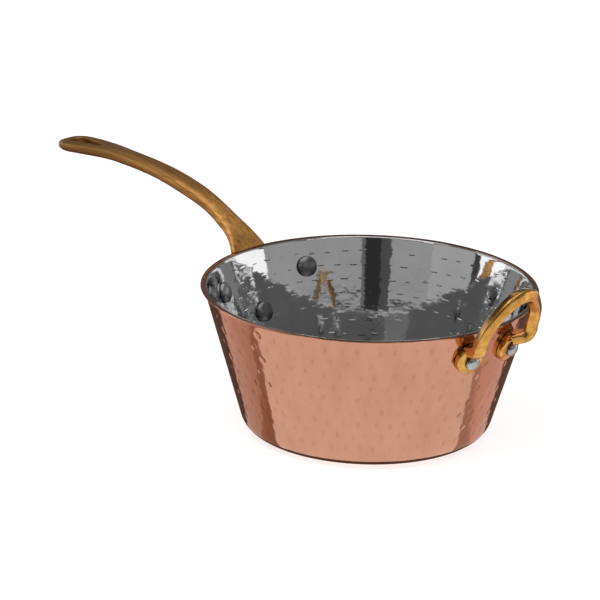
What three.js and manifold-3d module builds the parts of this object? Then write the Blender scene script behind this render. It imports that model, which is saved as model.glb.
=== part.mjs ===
// A splayed saucepan: hammered copper outside, a thin steel lining inside, a cast brass long handle
// and a cast brass helper loop, both riveted through the wall.
// Millimetres, +Z up. The origin is the centre of the base's underside.
// The long handle points along -X and the helper loop along +X.

import * as THREE from 'three';
import { mergeVertices } from 'three/addons/utils/BufferGeometryUtils.js';
import Module from 'manifold-3d';

// Pan body
const RIM_DIAMETER = 160;
const BASE_DIAMETER = 115.4;
const PAN_HEIGHT = 70;
const BASE_CORNER_RADIUS = 10;
const LIP_FLARE = 1;
const LIP_HEIGHT = 4;
const COPPER_THICKNESS = 1;
const STEEL_THICKNESS = 0.5;

// Fits
const BOND_LINE = 0.05;
const SEAT_GAP = 0.25;
const RIVET_CLEARANCE = 0.25;

// Rivets: the head is inside the pan, the tail is closed outside on the casting
const RIVET_SHANK_DIAMETER = 5;
const RIVET_HEAD_DIAMETER = 10;
const RIVET_HEAD_HEIGHT = 2.6;
const RIVET_TAIL_DIAMETER = 8;
const RIVET_TAIL_HEIGHT = 2.4;
const RIVET_EDGE_HEIGHT = 0.5;

// Long handle, from its riveted flange to its tip.
// A reach is measured out from the rim, a rise up from it and a drop down from it.
const FLANGE_RIVET_SPACING = 59.2;
const FLANGE_UPPER_RIVET_DROP = 13.3;
const FLANGE_LOWER_RIVET_DROP = 30.1;
const FLANGE_EAR_RADIUS = 8.5;
const FLANGE_WAIST_RADIUS = 40;
const FLANGE_THICKNESS = 3.5;
const SPREAD_DROP = 17.5;
const SPREAD_WIDTH = 46;
const SPREAD_THICKNESS = 3.2;
const ROOT_RISE = 1.4;
const ROOT_WIDTH = 22;
const ROOT_THICKNESS = 3.6;
const NECK_REACH = 15.3;
const NECK_RISE = 12.4;
const NECK_WIDTH = 12.9;
const NECK_THICKNESS = 5.4;
const SHOULDER_REACH = 40;
const SHOULDER_RISE = 22.1;
const SHOULDER_WIDTH = 12.7;
const SHOULDER_THICKNESS = 6.4;
const GRIP_REACH = 84;
const GRIP_RISE = 28;
const GRIP_WIDTH = 11;
const GRIP_THICKNESS = 7;
const TAIL_REACH = 111;
const TAIL_RISE = 27.4;
const TAIL_WIDTH = 12.6;
const TAIL_THICKNESS = 8.2;
const TIP_REACH = 129.8;
const TIP_RISE = 26;
const TIP_ROUNDING = 12.9;
const EYE_LENGTH = 23;
const EYE_WIDTH = 6;
const EYE_NARROW_WIDTH = 2.6;

// Helper loop, from its lugs to its top.
// Offsets are measured from the point midway between its rivets, on the lugs' outer face.
const HELPER_RIVET_SPACING = 26.8;
const HELPER_RIVET_DROP = 14.1;
const LUG_DIAMETER = 14.4;
const LUG_THICKNESS = 3.6;
const LUG_RISE = 1;
const FOOT_SPACING = 28.8;
const FOOT_OUT = -1;
const FOOT_UP = 4;
const FOOT_WIDTH = 6.5;
const FOOT_THICKNESS = 4.6;
const LEG_SPACING = 37.6;
const LEG_OUT = 4.1;
const LEG_UP = 7.5;
const LEG_WIDTH = 5.2;
const LEG_THICKNESS = 4.2;
const BEND_SPACING = 28.8;
const BEND_OUT = 10.8;
const BEND_UP = 26.2;
const BEND_WIDTH = 5.4;
const BEND_THICKNESS = 4.6;
const LOOP_TOP_OUT = 15.7;
const LOOP_TOP_UP = 33.5;
const LOOP_TOP_WIDTH = 6.4;
const LOOP_TOP_THICKNESS = 5.4;

// Facets
const BODY_SEGMENTS = 72;
const CORNER_STEPS = 3;
const LIP_STEPS = 2;
const RIVET_SEGMENTS = 20;
const DOME_STEPS = 3;
const HANDLE_RINGS = 30;
const TIP_RINGS = 7;
const HANDLE_SECTION_POINTS = 20;
const LOOP_RINGS = 32;
const LOOP_SECTION_POINTS = 12;
const OUTLINE_STEPS = 6;

// How far a casting is first made to reach into the wall, before the wall's shape is cut out of it
const SEAT_ALLOWANCE = 2;
// How square a section is: 2 is an ellipse, larger numbers are closer to a rectangle
const LOOP_SQUARENESS = 2.6;
const GRIP_SQUARENESS = 2.8;
const ROOT_SQUARENESS = 5.4;
const FLANGE_SQUARENESS = 8;
const MERGE_DISTANCE = 1e-4;

const COPPER = new THREE.MeshStandardMaterial({ color: 0xc98a6c, roughness: 0.22, metalness: 1 });
const STEEL = new THREE.MeshStandardMaterial({ color: 0xa9abac, roughness: 0.2, metalness: 1 });
const BRASS = new THREE.MeshStandardMaterial({ color: 0xb88746, roughness: 0.28, metalness: 1 });
const RIVET_STEEL = new THREE.MeshStandardMaterial({ color: 0x8d9092, roughness: 0.3, metalness: 1 });

const rimRadius = RIM_DIAMETER / 2;
const baseRadius = BASE_DIAMETER / 2;
const wallTilt = Math.atan2(rimRadius - LIP_FLARE - baseRadius, PAN_HEIGHT);
const wallThickness = COPPER_THICKNESS + BOND_LINE + STEEL_THICKNESS;
const upperRivetHeight = PAN_HEIGHT - FLANGE_UPPER_RIVET_DROP;
const lowerRivetHeight = PAN_HEIGHT - FLANGE_LOWER_RIVET_DROP;
const helperRivetHeight = PAN_HEIGHT - HELPER_RIVET_DROP;

const wasm = await Module();
wasm.setup();

// Turns a closed geometry into a solid that can be joined and cut.
function solidFrom(geometry) {
  const bare = geometry.clone();
  bare.deleteAttribute('normal');
  bare.deleteAttribute('uv');
  const merged = mergeVertices(bare, MERGE_DISTANCE);
  const corners = merged.index.array;
  const triangles = [];
  for (let i = 0; i < corners.length; i += 3) {
    const [a, b, c] = corners.slice(i, i + 3);
    if (a !== b && b !== c && c !== a) {
      triangles.push(a, b, c);
    }
  }
  const vertProperties = new Float32Array(merged.attributes.position.array);
  const triVerts = new Uint32Array(triangles);
  return new wasm.Manifold(new wasm.Mesh({ numProp: 3, vertProperties, triVerts }));
}

// Turns a finished solid into a named mesh.
function meshFrom(solid, name, material) {
  const { vertProperties, triVerts } = solid.getMesh();
  const geometry = new THREE.BufferGeometry();
  geometry.setAttribute('position', new THREE.BufferAttribute(vertProperties, 3));
  geometry.setIndex(new THREE.BufferAttribute(triVerts, 1));
  const mesh = new THREE.Mesh(geometry, material);
  mesh.name = name;
  return mesh;
}

// Revolves a half-section of (radius, height) points about the Z axis.
function revolve(profile, segments) {
  return new THREE.LatheGeometry(profile, segments).rotateX(Math.PI / 2);
}

// Skins closed rings of points, in order, into one closed body with flat ends.
function loft(rings) {
  const count = rings[0].length;
  const positions = [];
  const indices = [];
  for (const ring of rings) {
    for (const point of ring) {
      positions.push(point.x, point.y, point.z);
    }
  }
  for (let ring = 0; ring + 1 < rings.length; ring++) {
    for (let k = 0; k < count; k++) {
      const a = ring * count + k;
      const b = ring * count + (k + 1) % count;
      indices.push(a, b, b + count, a, b + count, a + count);
    }
  }
  const last = (rings.length - 1) * count;
  for (let k = 1; k + 1 < count; k++) {
    indices.push(0, k + 1, k);
    indices.push(last, last + k, last + k + 1);
  }
  const geometry = new THREE.BufferGeometry();
  geometry.setAttribute('position', new THREE.Float32BufferAttribute(positions, 3));
  geometry.setIndex(indices);
  return geometry;
}

// Radius of the wall's straight outer face at a height.
function wallRadius(height) {
  return baseRadius + height * Math.tan(wallTilt);
}

// Half-section point that stands off from the outer face, square to the wall.
function wallPoint(height, standOff) {
  return new THREE.Vector2(
    wallRadius(height) + standOff * Math.cos(wallTilt),
    height - standOff * Math.sin(wallTilt),
  );
}

// Half-section of the pan from the axis to the rim, set in from the outer face.
function bodyProfile(inset) {
  const cornerRadius = Math.max(BASE_CORNER_RADIUS - inset, 0);
  const cornerCentre = wallPoint(BASE_CORNER_RADIUS, 0);
  cornerCentre.x -= BASE_CORNER_RADIUS / Math.cos(wallTilt);
  const profile = [new THREE.Vector2(0, inset)];
  for (let step = 0; step <= CORNER_STEPS; step++) {
    const angle = THREE.MathUtils.lerp(-Math.PI / 2, -wallTilt, step / CORNER_STEPS);
    const spoke = new THREE.Vector2(Math.cos(angle), Math.sin(angle));
    profile.push(cornerCentre.clone().addScaledVector(spoke, cornerRadius));
  }
  for (let step = 0; step <= LIP_STEPS; step++) {
    const share = step / LIP_STEPS;
    const height = PAN_HEIGHT - LIP_HEIGHT * (1 - share);
    const radius = wallRadius(height) - inset / Math.cos(wallTilt) + LIP_FLARE * share ** 2;
    profile.push(new THREE.Vector2(radius, height));
  }
  return profile;
}

// One skin of the pan, between two depths from the outer face.
function panSkin(outerInset, innerInset) {
  const profile = [...bodyProfile(outerInset), ...bodyProfile(innerInset).reverse()];
  return solidFrom(revolve(profile, BODY_SEGMENTS));
}

// The room that the pan takes up, with the seat gap round it. Castings are cut by it.
function panEnvelope() {
  const profile = bodyProfile(-SEAT_GAP);
  const top = PAN_HEIGHT + SEAT_GAP;
  profile.push(new THREE.Vector2(profile.at(-1).x, top), new THREE.Vector2(0, top));
  return solidFrom(revolve(profile, BODY_SEGMENTS));
}

// Placement on the wall's outer face, with local +Z square to the wall and pointing out.
function wallPlacement(angle, height) {
  const outward = new THREE.Vector3(
    Math.cos(wallTilt) * Math.cos(angle),
    Math.cos(wallTilt) * Math.sin(angle),
    -Math.sin(wallTilt),
  );
  const along = new THREE.Vector3(-Math.sin(angle), Math.cos(angle), 0);
  const up = new THREE.Vector3().crossVectors(outward, along);
  const radius = wallRadius(height);
  return new THREE.Matrix4()
    .makeBasis(along, up, outward)
    .setPosition(radius * Math.cos(angle), radius * Math.sin(angle), height);
}

// Placements of a pair of rivets, a given distance apart, either side of a direction.
function rivetPair(direction, spacing, height) {
  const halfAngle = Math.asin(spacing / 2 / wallRadius(height));
  return [wallPlacement(direction + halfAngle, height), wallPlacement(direction - halfAngle, height)];
}

const handlePlacements = [
  ...rivetPair(Math.PI, FLANGE_RIVET_SPACING, upperRivetHeight),
  wallPlacement(Math.PI, lowerRivetHeight),
];
const helperPlacements = rivetPair(0, HELPER_RIVET_SPACING, helperRivetHeight);

// Cuts the rivets' clearance holes through a wall or a casting.
function drill(solid, placements) {
  const radius = RIVET_SHANK_DIAMETER / 2 + RIVET_CLEARANCE;
  const length = 2 * (wallThickness + FLANGE_THICKNESS + LUG_THICKNESS + SEAT_ALLOWANCE);
  let drilled = solid;
  for (const placement of placements) {
    const drillBit = new THREE.CylinderGeometry(radius, radius, length, RIVET_SEGMENTS);
    drillBit.rotateX(Math.PI / 2).applyMatrix4(placement);
    drilled = drilled.subtract(solidFrom(drillBit));
  }
  return drilled;
}

// Clears a flat seat for each rivet's tail on the face of a casting.
function spotFace(solid, placements, castingThickness) {
  const radius = RIVET_TAIL_DIAMETER / 2 + RIVET_CLEARANCE;
  const depth = RIVET_TAIL_DIAMETER + RIVET_TAIL_HEIGHT;
  let faced = solid;
  for (const placement of placements) {
    const cutter = new THREE.CylinderGeometry(radius, radius, depth, RIVET_SEGMENTS);
    cutter.rotateX(Math.PI / 2).translate(0, 0, SEAT_GAP + castingThickness + depth / 2);
    faced = faced.subtract(solidFrom(cutter.applyMatrix4(placement)));
  }
  return faced;
}

// Points of a domed rivet end, from its edge to its crown on the axis.
function domeProfile(diameter, seat, height) {
  const points = [new THREE.Vector2(diameter / 2, seat)];
  for (let step = 0; step <= DOME_STEPS; step++) {
    const angle = step / DOME_STEPS * Math.PI / 2;
    const rise = RIVET_EDGE_HEIGHT + (height - RIVET_EDGE_HEIGHT) * Math.sin(angle);
    points.push(new THREE.Vector2(diameter / 2 * Math.cos(angle), seat + Math.sign(height) * rise));
  }
  return points;
}

// One rivet, along local Z from its head inside the pan to its closed tail on the casting.
function rivet(name, placement, height, castingThickness) {
  const wallCurve = wallRadius(height) / Math.cos(wallTilt) - wallThickness;
  const headRadius = RIVET_HEAD_DIAMETER / 2;
  const headBow = wallCurve - Math.sqrt(wallCurve ** 2 - headRadius ** 2);
  const headSeat = -wallThickness - SEAT_GAP - headBow;
  const tailSeat = SEAT_GAP + castingThickness + SEAT_GAP;
  const shankRadius = RIVET_SHANK_DIAMETER / 2;
  const head = domeProfile(RIVET_HEAD_DIAMETER, 0, RIVET_HEAD_HEIGHT);
  const tail = domeProfile(RIVET_TAIL_DIAMETER, tailSeat, RIVET_TAIL_HEIGHT);
  const profile = [
    ...head.reverse().map((point) => new THREE.Vector2(point.x, headSeat - point.y)),
    new THREE.Vector2(shankRadius, headSeat),
    new THREE.Vector2(shankRadius, tailSeat),
    ...tail,
  ];
  const mesh = meshFrom(solidFrom(revolve(profile, RIVET_SEGMENTS)), name, RIVET_STEEL);
  mesh.applyMatrix4(placement);
  return mesh;
}

// Outline of the flange as seen along the handle: three ears round the rivets, with drawn-in lower edges.
function flangeOutline() {
  const right = new THREE.Vector2(FLANGE_RIVET_SPACING / 2, upperRivetHeight);
  const left = new THREE.Vector2(-right.x, right.y);
  const low = new THREE.Vector2(0, lowerRivetHeight);
  const side = new THREE.Vector2().subVectors(low, left);
  const lean = Math.atan2(-side.y, side.x);
  const sideNormal = new THREE.Vector2(-Math.sin(lean), -Math.cos(lean));
  const sag = side.lengthSq() / (8 * FLANGE_WAIST_RADIUS);
  const lowStart = low.clone().addScaledVector(sideNormal, FLANGE_EAR_RADIUS);
  const otherNormal = new THREE.Vector2(-sideNormal.x, sideNormal.y);
  const rightStart = right.clone().addScaledVector(otherNormal, FLANGE_EAR_RADIUS);
  // A quadratic curve's control point stands off its chord by twice the sag.
  const waist = new THREE.Vector2().addVectors(left, low).divideScalar(2);
  waist.addScaledVector(sideNormal, FLANGE_EAR_RADIUS - 2 * sag);
  const outline = new THREE.Shape();
  outline.absarc(right.x, right.y, FLANGE_EAR_RADIUS, lean - Math.PI / 2, Math.PI / 2);
  outline.absarc(left.x, left.y, FLANGE_EAR_RADIUS, Math.PI / 2, 3 * Math.PI / 2 - lean);
  outline.quadraticCurveTo(waist.x, waist.y, lowStart.x, lowStart.y);
  outline.absarc(low.x, low.y, FLANGE_EAR_RADIUS, 3 * Math.PI / 2 - lean, 3 * Math.PI / 2 + lean);
  outline.quadraticCurveTo(-waist.x, waist.y, rightStart.x, rightStart.y);
  return outline;
}

// The riveted plate: its outline, projected onto a layer that follows the wall.
function handleFlange() {
  const blank = new THREE.ExtrudeGeometry(flangeOutline(), {
    depth: rimRadius,
    bevelEnabled: false,
    curveSegments: OUTLINE_STEPS,
  });
  const alongHandle = new THREE.Matrix4().makeBasis(
    new THREE.Vector3(0, -1, 0),
    new THREE.Vector3(0, 0, 1),
    new THREE.Vector3(-1, 0, 0),
  );
  blank.applyMatrix4(alongHandle);
  const low = lowerRivetHeight - 2 * FLANGE_EAR_RADIUS;
  const high = upperRivetHeight + 2 * FLANGE_EAR_RADIUS;
  const layer = [
    wallPoint(low, -SEAT_ALLOWANCE),
    wallPoint(low, SEAT_GAP + FLANGE_THICKNESS),
    wallPoint(high, SEAT_GAP + FLANGE_THICKNESS),
    wallPoint(high, -SEAT_ALLOWANCE),
    wallPoint(low, -SEAT_ALLOWANCE),
  ];
  return solidFrom(blank).intersect(solidFrom(revolve(layer, BODY_SEGMENTS)));
}

// A smooth curve through the places of a bar's sections.
function smoothCurve(points) {
  return new THREE.CatmullRomCurve3(points, false, 'centripetal');
}

// A section's half width, half thickness and squareness, kept as one point so that they can be curved.
function section(width, thickness, squareness) {
  return new THREE.Vector3(width / 2, thickness / 2, squareness);
}

// Stations that the handle passes through: the place on its centreline, out and up, and the section there.
function handleStations() {
  const fromRim = (reach, rise) => new THREE.Vector3(rimRadius + reach, PAN_HEIGHT + rise, 0);
  const onWall = (rise, thickness) => {
    const { x, y } = wallPoint(PAN_HEIGHT + rise, SEAT_GAP + thickness / 2);
    return new THREE.Vector3(x, y, 0);
  };
  const spread = section(SPREAD_WIDTH, SPREAD_THICKNESS, FLANGE_SQUARENESS);
  const root = section(ROOT_WIDTH, ROOT_THICKNESS, ROOT_SQUARENESS);
  const neck = section(NECK_WIDTH, NECK_THICKNESS, GRIP_SQUARENESS);
  const shoulder = section(SHOULDER_WIDTH, SHOULDER_THICKNESS, GRIP_SQUARENESS);
  const grip = section(GRIP_WIDTH, GRIP_THICKNESS, GRIP_SQUARENESS);
  const tail = section(TAIL_WIDTH, TAIL_THICKNESS, GRIP_SQUARENESS);
  return [
    { at: onWall(-SPREAD_DROP, SPREAD_THICKNESS), size: spread },
    { at: onWall(ROOT_RISE, ROOT_THICKNESS), size: root },
    { at: fromRim(NECK_REACH, NECK_RISE), size: neck },
    { at: fromRim(SHOULDER_REACH, SHOULDER_RISE), size: shoulder },
    { at: fromRim(GRIP_REACH, GRIP_RISE), size: grip },
    { at: fromRim(TAIL_REACH, TAIL_RISE), size: tail },
    { at: fromRim(TIP_REACH, TIP_RISE), size: tail },
  ];
}

// Rounded-rectangle section points as shares of the half width and half thickness.
function sectionShares(count, squareness) {
  return Array.from({ length: count }, (_, k) => {
    const angle = k / count * 2 * Math.PI;
    const across = Math.cos(angle);
    const depth = (1 - Math.abs(across) ** squareness) ** (1 / squareness);
    return new THREE.Vector2(across, Math.sign(Math.sin(angle)) * depth);
  });
}

// Shares of the handle's length at which it has a ring: even along the bar, closing up round the tip.
function handleShares(tipShare) {
  const shares = [];
  for (let ring = 0; ring < HANDLE_RINGS; ring++) {
    shares.push(ring / HANDLE_RINGS * (1 - tipShare));
  }
  for (let ring = 0; ring < TIP_RINGS; ring++) {
    shares.push(1 - tipShare * (1 - Math.sin(ring / TIP_RINGS * Math.PI / 2)));
  }
  return shares;
}

// The handle's bar, with sections that bend round the pan's axis where they lie against the wall.
function handleBar() {
  const stations = handleStations();
  const centreline = smoothCurve(stations.map(({ at }) => at));
  const sizes = smoothCurve(stations.map(({ size }) => size));
  const tipShare = TIP_ROUNDING / centreline.getLength();
  const rings = handleShares(tipShare).map((share) => {
    const station = centreline.getUtoTmapping(share);
    const centre = centreline.getPoint(station);
    const forward = centreline.getTangent(station);
    const size = sizes.getPoint(station);
    const intoTip = Math.max(0, 1 - (1 - share) / tipShare);
    const rounding = Math.sqrt(1 - intoTip ** 2);
    return sectionShares(HANDLE_SECTION_POINTS, size.z).map(({ x: across, y: depth }) => {
      const lift = depth * size.y * rounding;
      const radius = centre.x - forward.y * lift;
      const angle = Math.PI + across * size.x * rounding / radius;
      const height = centre.y + forward.x * lift;
      return new THREE.Vector3(radius * Math.cos(angle), radius * Math.sin(angle), height);
    });
  });
  return solidFrom(loft(rings));
}

// The hanging eye: a slot through the tail, round at the outer end and drawn in towards the grip.
function handleEye() {
  const [grip, tail, tip] = handleStations().slice(-3).map(({ at }) => at);
  const forward = new THREE.Vector3().subVectors(tip, grip).normalize();
  const outer = EYE_WIDTH / 2;
  const inner = EYE_NARROW_WIDTH / 2;
  const span = EYE_LENGTH - outer - inner;
  const lean = Math.acos((outer - inner) / span);
  const slot = new THREE.Shape();
  slot.absarc(0, 0, outer, -lean, lean);
  slot.absarc(-span, 0, inner, lean, 2 * Math.PI - lean);
  const depth = 2 * TAIL_THICKNESS;
  const cutter = new THREE.ExtrudeGeometry(slot, {
    depth,
    bevelEnabled: false,
    curveSegments: OUTLINE_STEPS,
  });
  cutter.translate(span / 2, 0, -depth / 2);
  const placement = new THREE.Matrix4().makeBasis(
    new THREE.Vector3(-forward.x, 0, forward.y),
    new THREE.Vector3(0, -1, 0),
    new THREE.Vector3(forward.y, 0, forward.x),
  );
  cutter.applyMatrix4(placement.setPosition(-tail.x, 0, tail.y));
  return solidFrom(cutter);
}

function longHandle() {
  const blank = handleFlange().add(handleBar()).subtract(handleEye());
  const faced = spotFace(blank.subtract(panEnvelope()), handlePlacements, FLANGE_THICKNESS);
  return drill(faced, handlePlacements);
}

// Stations that the loop passes through, from one lug over the top to the other.
function loopStations() {
  const face = wallPoint(helperRivetHeight, SEAT_GAP + LUG_THICKNESS);
  const place = (spacing, out, up) => new THREE.Vector3(face.x + out, spacing / 2, face.y + up);
  const footSize = section(FOOT_WIDTH, FOOT_THICKNESS, LOOP_SQUARENESS);
  const legSize = section(LEG_WIDTH, LEG_THICKNESS, LOOP_SQUARENESS);
  const bendSize = section(BEND_WIDTH, BEND_THICKNESS, LOOP_SQUARENESS);
  const topSize = section(LOOP_TOP_WIDTH, LOOP_TOP_THICKNESS, LOOP_SQUARENESS);
  const leg = [
    { at: place(FOOT_SPACING, FOOT_OUT, FOOT_UP), size: footSize },
    { at: place(LEG_SPACING, LEG_OUT, LEG_UP), size: legSize },
    { at: place(BEND_SPACING, BEND_OUT, BEND_UP), size: bendSize },
  ];
  const top = { at: place(0, LOOP_TOP_OUT, LOOP_TOP_UP), size: topSize };
  const otherLeg = leg.map(({ at, size }) => ({ at: new THREE.Vector3(at.x, -at.y, at.z), size }));
  return [...leg, top, ...otherLeg.reverse()];
}

// Half of the loop's rings, carried without twist from the top down to one lug.
function loopRings(direction) {
  const stations = loopStations();
  const centreline = smoothCurve(stations.map(({ at }) => at));
  const sizes = smoothCurve(stations.map(({ size }) => size));
  const outward = new THREE.Vector3(LOOP_TOP_UP, 0, -LOOP_TOP_OUT).normalize();
  const rings = [];
  for (let ring = 0; ring <= LOOP_RINGS / 2; ring++) {
    const station = centreline.getUtoTmapping(0.5 + direction * ring / LOOP_RINGS);
    const centre = centreline.getPoint(station);
    const forward = centreline.getTangent(station);
    const size = sizes.getPoint(station);
    outward.addScaledVector(forward, -outward.dot(forward)).normalize();
    const across = new THREE.Vector3().crossVectors(outward, forward);
    rings.push(sectionShares(LOOP_SECTION_POINTS, size.z).map((share) => centre.clone()
      .addScaledVector(across, share.x * size.x)
      .addScaledVector(outward, share.y * size.y)));
  }
  return rings;
}

function loopBar() {
  const [top, ...firstHalf] = loopRings(1);
  const secondHalf = loopRings(-1).slice(1);
  return solidFrom(loft([...secondHalf.reverse(), top, ...firstHalf]));
}

// A round lug that seats on the wall, square to its rivet.
function lug(placement) {
  const height = SEAT_ALLOWANCE + SEAT_GAP + LUG_THICKNESS;
  const disc = new THREE.CylinderGeometry(LUG_DIAMETER / 2, LUG_DIAMETER / 2, height, 2 * RIVET_SEGMENTS);
  disc.rotateX(Math.PI / 2).translate(0, LUG_RISE, height / 2 - SEAT_ALLOWANCE);
  return solidFrom(disc.applyMatrix4(placement));
}

function helperHandle() {
  let blank = loopBar();
  for (const placement of helperPlacements) {
    blank = blank.add(lug(placement));
  }
  const faced = spotFace(blank.subtract(panEnvelope()), helperPlacements, LUG_THICKNESS);
  return drill(faced, helperPlacements);
}

const pan = new THREE.Group();
const allPlacements = [...handlePlacements, ...helperPlacements];
const liningInset = COPPER_THICKNESS + BOND_LINE;
const copperShell = drill(panSkin(0, COPPER_THICKNESS), allPlacements);
const steelLining = drill(panSkin(liningInset, wallThickness), allPlacements);
pan.add(
  meshFrom(copperShell, 'copper_shell', COPPER),
  meshFrom(steelLining, 'steel_lining', STEEL),
  meshFrom(longHandle(), 'long_handle', BRASS),
  meshFrom(helperHandle(), 'helper_handle', BRASS),
);

const [handleLeft, handleRight, handleLower] = handlePlacements;
const [helperLeft, helperRight] = helperPlacements;
pan.add(
  rivet('handle_rivet_left', handleLeft, upperRivetHeight, FLANGE_THICKNESS),
  rivet('handle_rivet_right', handleRight, upperRivetHeight, FLANGE_THICKNESS),
  rivet('handle_rivet_lower', handleLower, lowerRivetHeight, FLANGE_THICKNESS),
  rivet('helper_rivet_left', helperLeft, helperRivetHeight, LUG_THICKNESS),
  rivet('helper_rivet_right', helperRight, helperRivetHeight, LUG_THICKNESS),
);

export default pan;
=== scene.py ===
"""A splayed copper saucepan with a steel lining and two cast brass handles, on a white studio floor."""

import math
import random

import bmesh
import bpy
from mathutils import Matrix, Vector
from mathutils.geometry import interpolate_bezier


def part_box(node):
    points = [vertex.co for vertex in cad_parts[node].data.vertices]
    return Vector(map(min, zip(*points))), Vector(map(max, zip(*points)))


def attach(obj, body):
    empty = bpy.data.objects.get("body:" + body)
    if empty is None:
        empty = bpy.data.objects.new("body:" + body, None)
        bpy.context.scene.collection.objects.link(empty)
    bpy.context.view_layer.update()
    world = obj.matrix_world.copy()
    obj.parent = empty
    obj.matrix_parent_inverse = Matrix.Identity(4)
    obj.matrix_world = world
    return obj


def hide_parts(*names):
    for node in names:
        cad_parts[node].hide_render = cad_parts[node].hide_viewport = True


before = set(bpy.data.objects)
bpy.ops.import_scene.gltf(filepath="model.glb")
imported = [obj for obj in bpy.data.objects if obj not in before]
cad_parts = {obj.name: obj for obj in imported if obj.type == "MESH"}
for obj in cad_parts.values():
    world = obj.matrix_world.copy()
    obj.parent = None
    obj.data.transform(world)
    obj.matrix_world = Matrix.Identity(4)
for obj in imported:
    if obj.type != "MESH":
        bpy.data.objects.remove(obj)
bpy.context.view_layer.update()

MM = 0.001

# Pan body, taken from the frame where the frame shows it
shell_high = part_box("copper_shell")[1]
RIM_RADIUS = shell_high[0]
PAN_HEIGHT = shell_high[2]
BASE_RADIUS = 57.8 * MM
BASE_CORNER_RADIUS = 10 * MM
LIP_FLARE = 1.4 * MM
LIP_HEIGHT = 1.6 * MM
INNER_LIP_FLARE = 0.1 * MM
COPPER_THICKNESS = 1 * MM
STEEL_THICKNESS = 0.5 * MM
BOND_LINE = 0.05 * MM
SEAT_GAP = 0.25 * MM
WALL_THICKNESS = COPPER_THICKNESS + BOND_LINE + STEEL_THICKNESS
WALL_TILT = math.atan2(RIM_RADIUS - LIP_FLARE - BASE_RADIUS, PAN_HEIGHT)
RIM_EDGE_ROUND = 0.2 * MM
RIM_EDGE_BEVEL = 0.3 * RIM_EDGE_ROUND

# Hammer marks. Floors, the guard and the centre's step are shares of a mark's radius
MARK_ROWS = 9
MARKS_PER_ROW = 56
MARK_ROW_STEP = 6.8 * MM
MARK_RADIUS = 2.3 * MM
MARK_GUARD = 1.1
MARK_REACH = 1.01 * MARK_GUARD * MARK_RADIUS
MARK_CENTRE_STEP = 0.12
MARK_STRENGTHS = (0.35, 1.15)
MARK_SIZES = (0.8, 1.0)
COPPER_MARK_FLOOR = 0.45
COPPER_MARK_DEPTH = 0.23 * MM
COPPER_MARK_SHAPE = (1, 1)
LINING_MARK_FLOOR = 0.4
LINING_MARK_DEPTH = 0.038 * MM
LINING_MARK_SHAPE = (1, 0.3)
MARK_DRIFT_ALONG = 0.65 * MM
MARK_DRIFT_DOWN = 0.65 * MM
MARK_SEED = 7
# Size of the painted shade that darkens the middle of each hammer mark
MARK_SHADE_WIDTH = 1.1 * MM
MARK_SHADE_HEIGHT = 2.6 * MM
TILE_WIDTH = 7 * MM
TILE_SPOKES = 24
TILE_EDGE_GROWTH = 1.2
BAND_HIGH = MARK_ROW_STEP / 2
BAND_LOW = BAND_HIGH + MARK_ROWS * MARK_ROW_STEP

# Rivets
RIVET_SHANK_RADIUS = 2.5 * MM
RIVET_HEAD_RADIUS = 5 * MM
RIVET_HEAD_HEIGHT = 2.6 * MM
RIVET_TAIL_RADIUS = 3.5 * MM
RIVET_TAIL_HEIGHT = 2.6 * MM
RIVET_EDGE_HEIGHT = 0.5 * MM
RIVET_CLEARANCE = 0.25 * MM
DRILL_DEPTH = 24 * MM
FACING_DEPTH = 12 * MM
HANDLE_RIVET_SPACING = 59.2 * MM
HANDLE_RIVET_HEIGHT = PAN_HEIGHT - 13.3 * MM
HANDLE_LOW_RIVET_HEIGHT = PAN_HEIGHT - 30.1 * MM
HELPER_RIVET_SPACING = 26.8 * MM
HELPER_RIVET_HEIGHT = PAN_HEIGHT - 14.1 * MM

# Long handle. Its corner is a share of its section, its softening the rounds of smoothing
FLANGE_THICKNESS = 3.5 * MM
FLANGE_EAR_RADIUS = 8.5 * MM
FLANGE_WAIST_RADIUS = 40 * MM
ROOT_REACH = RIM_RADIUS + 12 * MM
ROOT_DEEPEST_BOW = 4 * MM
HANDLE_CORNER = 0.34
TIP_ROUNDING = 12.9 * MM
EYE_LENGTH = 20 * MM
EYE_SHIFT = 1.6 * MM
EYE_WIDTH = 8.6 * MM
EYE_NARROW_WIDTH = 4.4 * MM
EYE_CUT_DEPTH = 30 * MM
TAIL_FLAT_RISE = 2.5 * MM
TAIL_BLOCK = (70 * MM, 30 * MM, 10 * MM)
HANDLE_VOXEL = 0.5 * MM
HANDLE_SOFTENING = 24
GRIP_SOFTNESS = 0.25

# Helper loop, measured in the same way
LUG_RADIUS = 7.8 * MM
LUG_THICKNESS = 2.9 * MM
LUG_EDGE_THICKNESS = 2.0 * MM
LUG_CROWN_RADIUS = 5.2 * MM
LUG_RISE = 1 * MM
LUG_ROOT = -2 * MM
LOOP_CORNER = 0.24
HELPER_VOXEL = 0.31 * MM
HELPER_SOFTENING = 12

# Facets of round forms, and what counts as a sharp edge
SKIN_STEPS = MARKS_PER_ROW * TILE_SPOKES // 4
BASE_CORNER_STEPS = 14
LIP_STEPS = 6
CUTTER_STEPS = 360
WAIST_STEPS = 240
ROUND_STEPS = 48
DOME_STEPS = 12
LUG_STEPS = 8
CORNER_STEPS = 8
SPINE_STEPS = 32
TIP_STEPS = 14
RING_STEP = 1.2 * MM
MERGE_DISTANCE = 0.001 * MM
SHARP_ANGLE = math.radians(40)
RIVET_SHARP_ANGLE = math.radians(50)

# Camera, fitted to the rim, the wall lines and the base edge
CAMERA_PLACE = Vector((1.1849, -1.3416, 0.6709))
CAMERA_AIM = Vector((-0.63967, 0.69806, -0.32194))
CAMERA_ROLL = math.radians(1.374)
CAMERA_LENS = 240
CAMERA_SENSOR = 36
CAMERA_REACH = 50
STUDIO_TURN = math.radians(42.5)


# Hand tools


def deselect_all():
    bpy.ops.object.select_all(action="DESELECT")


def take(piece):
    """Makes a piece the only one selected, and the active one."""
    deselect_all()
    piece.select_set(True)
    bpy.context.view_layer.objects.active = piece


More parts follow.
